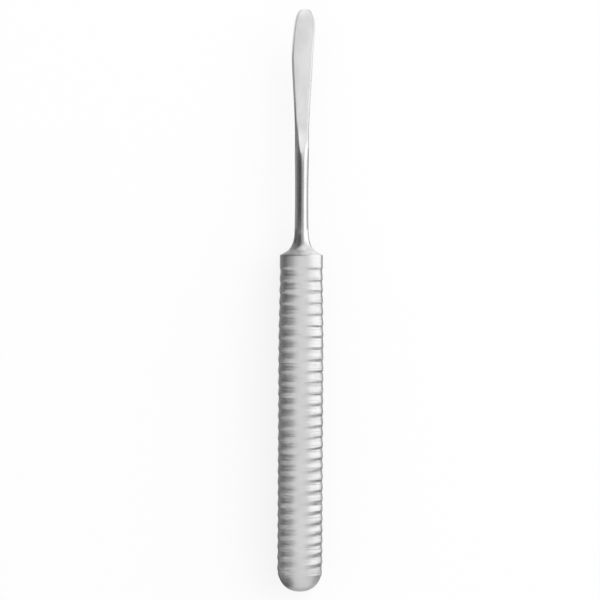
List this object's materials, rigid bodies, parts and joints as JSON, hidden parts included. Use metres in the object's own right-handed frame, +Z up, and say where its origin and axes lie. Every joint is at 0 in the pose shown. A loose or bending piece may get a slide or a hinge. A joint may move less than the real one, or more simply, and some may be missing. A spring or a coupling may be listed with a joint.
{
  "type": "periosteal elevator",
  "caption": "Steel hand instrument with a ribbed round handle, a slim shank and a narrow, upcurved blade with a sharp round end, for lifting periosteum from bone.",
  "frame": {"origin": "on the surface that the instrument lies on, under the middle of its length and width", "axes": "+Y along the instrument from the domed butt towards the tip of the blade, +Z up, out of the ground inner face of the blade"},
  "size_m": [0.0136, 0.175, 0.0137],
  "materials": {
    "stainless_steel": "fine satin on the ribbed handle, brighter polish on the collar, neck, shank and blade"
  },
  "bodies": {
    "root": {"elevator": "stainless_steel"}
  },
  "joints": []
}
